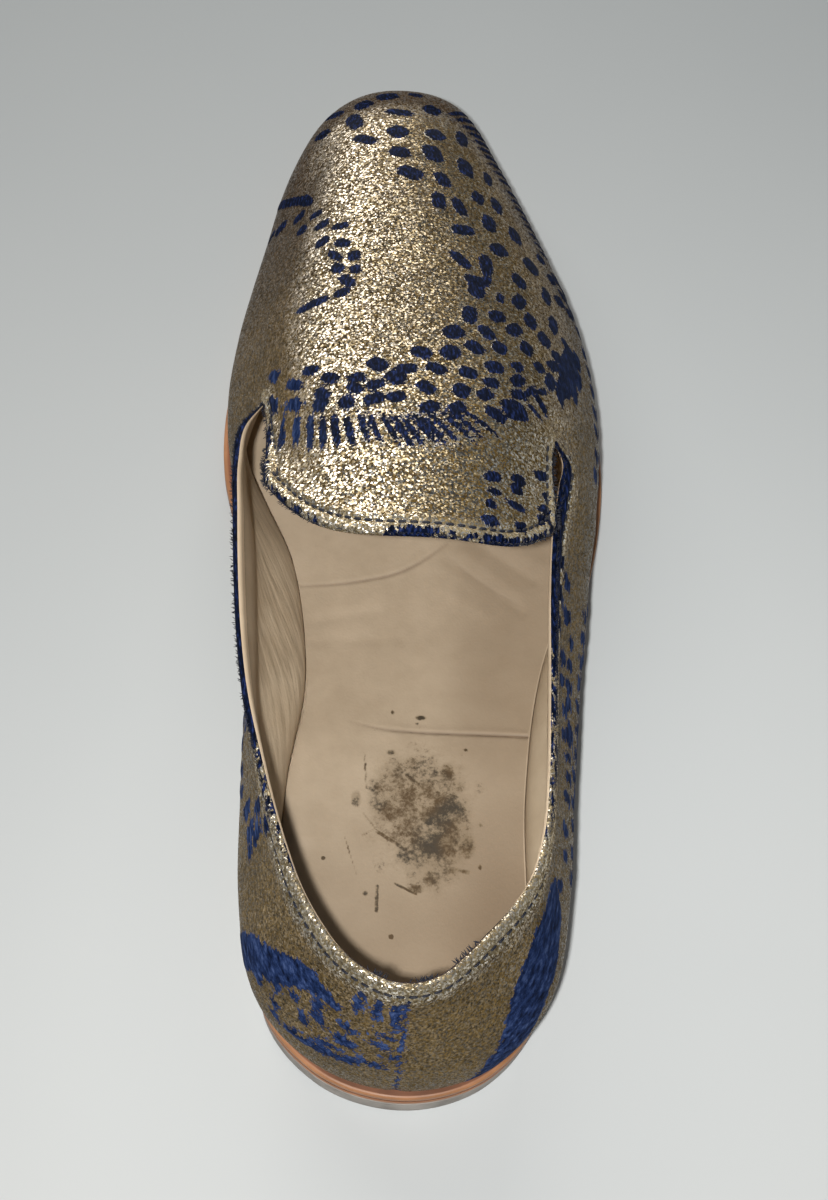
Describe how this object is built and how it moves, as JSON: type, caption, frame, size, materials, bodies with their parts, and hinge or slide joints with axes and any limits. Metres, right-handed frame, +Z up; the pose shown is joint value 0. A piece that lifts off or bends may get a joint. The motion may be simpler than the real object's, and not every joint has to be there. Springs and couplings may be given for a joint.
{
  "type": "slip-on slipper loafer, right",
  "caption": "Flat slip-on loafer for the right foot: hollow cloth upper with a wide built-in tongue and low collar, leather sole with arch and toe spring, low rubber heel.",
  "frame": {"origin": "middle of the shoe's length and width, on the ground", "axes": "+Y from heel to toe, +X to the little-toe side, +Z up"},
  "size_m": [0.0948, 0.2696, 0.0789],
  "materials": {
    "upper": "gold metallic brocade with woven navy spots, folded navy edge",
    "insole": "beige leather sock, creased and stained by wear",
    "outsole": "orange-tan leather sole with a waxed edge",
    "heel": "pale grey rubber, worn at the outer back corner"
  },
  "bodies": {
    "root": {"upper": "upper", "insole": "insole", "outsole": "outsole", "heel": "heel"}
  },
  "joints": []
}
